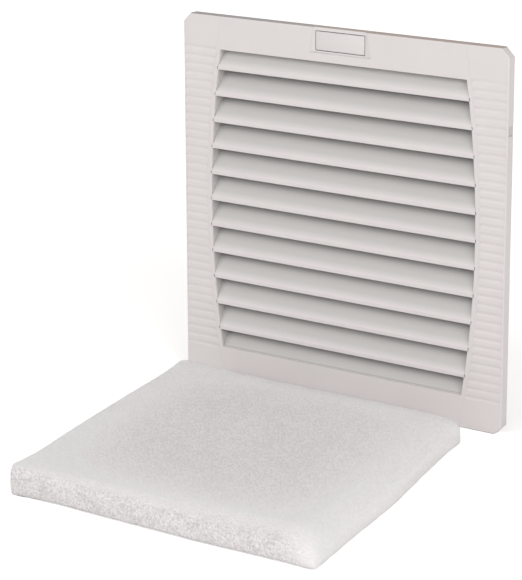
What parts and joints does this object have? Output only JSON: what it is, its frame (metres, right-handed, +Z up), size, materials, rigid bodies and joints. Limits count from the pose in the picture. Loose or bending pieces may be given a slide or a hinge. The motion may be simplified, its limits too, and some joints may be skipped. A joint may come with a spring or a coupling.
{
  "type": "cabinet filter fan",
  "caption": "Square louvred filter fan for a cabinet door: fold-down cover, push-button latch, snap-in base frame, axial fan and a loose filter mat.",
  "frame": {"origin": "on the gasket's rear face, which seats on the front of the cabinet door, in the middle of the gasket's lower run", "axes": "+Y into the cabinet, along the air flow and the fan's axis; +Z up the cover; +X to the right as seen from in front of the cover"},
  "size_m": [0.2815, 0.3357, 0.2501],
  "materials": {
    "cover_plastic": "light grey fine-textured moulding",
    "frame_plastic": "light grey moulding",
    "black_plastic": "black moulding",
    "gasket_foam": "closed-cell foam strip",
    "filter_fibre": "white bonded non-woven fibre",
    "cast_frame": "black coated die casting",
    "spring_steel": "bright strip",
    "plated_steel": "zinc plated",
    "motor_iron": "lacquered",
    "coil_copper": "enamelled copper wire",
    "terminal_brass": "bright"
  },
  "bodies": {
    "base": {"base_frame": "frame_plastic", "door_gasket": "gasket_foam", "support_grille": "frame_plastic", "filter_mat": "filter_fibre", "clip_pin_lower_left": "plated_steel", "clip_pin_upper_left": "plated_steel", "clip_pin_lower_right": "plated_steel", "clip_pin_upper_right": "plated_steel", "fan_frame": "cast_frame", "stator_core": "motor_iron", "motor_coil_1": "coil_copper", "motor_coil_2": "coil_copper", "motor_coil_3": "coil_copper", "motor_coil_4": "coil_copper", "bearing_front": "plated_steel", "bearing_rear": "plated_steel", "finger_guard": "plated_steel", "fan_screw_1": "plated_steel", "fan_screw_2": "plated_steel", "fan_screw_3": "plated_steel", "fan_screw_4": "plated_steel", "terminal_block": "black_plastic", "terminal_screw_1": "terminal_brass", "terminal_screw_2": "terminal_brass", "terminal_screw_3": "terminal_brass"},
    "cover": {"cover_grille": "cover_plastic", "latch_tongue": "spring_steel", "tongue_screw_1": "plated_steel", "tongue_screw_2": "plated_steel", "hinge_pin_left": "plated_steel", "hinge_pin_right": "plated_steel"},
    "button": {"latch_button": "cover_plastic"},
    "rotor": {"impeller": "black_plastic", "rotor_cup": "motor_iron", "rotor_shaft": "plated_steel", "shaft_clip": "spring_steel"},
    "clip_lower_left": {"door_clip_lower_left": "frame_plastic"},
    "clip_upper_left": {"door_clip_upper_left": "frame_plastic"},
    "clip_lower_right": {"door_clip_lower_right": "frame_plastic"},
    "clip_upper_right": {"door_clip_upper_right": "frame_plastic"}
  },
  "joints": [
    {"name": "cover_tilt", "type": "hinge", "parent": "base", "child": "cover", "pos_m": [0, -0.0046, -0.00655], "axis": [1, 0, 0], "range_deg": [0, 50], "deforming": ["latch_tongue"]},
    {"name": "button_press", "type": "slide", "parent": "cover", "child": "button", "axis": [0, 1, 0], "range_m": [0, 0.0015], "stiffness_N_per_m": 2000, "deforming": ["latch_tongue"]},
    {"name": "impeller_spin", "type": "hinge", "parent": "base", "child": "rotor", "pos_m": [0, 0.0285, 0.11525], "axis": [0, 1, 0], "continuous": true},
    {"name": "clip_lower_left_press", "type": "hinge", "parent": "base", "child": "clip_lower_left", "pos_m": [-0.108, 0.0132, 0.05525], "axis": [0, 0, 1], "range_deg": [0, 19], "stiffness_Nm_per_rad": 0.4},
    {"name": "clip_upper_left_press", "type": "hinge", "parent": "base", "child": "clip_upper_left", "pos_m": [-0.108, 0.0132, 0.17525], "axis": [0, 0, 1], "range_deg": [0, 19], "stiffness_Nm_per_rad": 0.4},
    {"name": "clip_lower_right_press", "type": "hinge", "parent": "base", "child": "clip_lower_right", "pos_m": [0.108, 0.0132, 0.05525], "axis": [0, 0, -1], "range_deg": [0, 19], "stiffness_Nm_per_rad": 0.4},
    {"name": "clip_upper_right_press", "type": "hinge", "parent": "base", "child": "clip_upper_right", "pos_m": [0.108, 0.0132, 0.17525], "axis": [0, 0, -1], "range_deg": [0, 19], "stiffness_Nm_per_rad": 0.4}
  ]
}
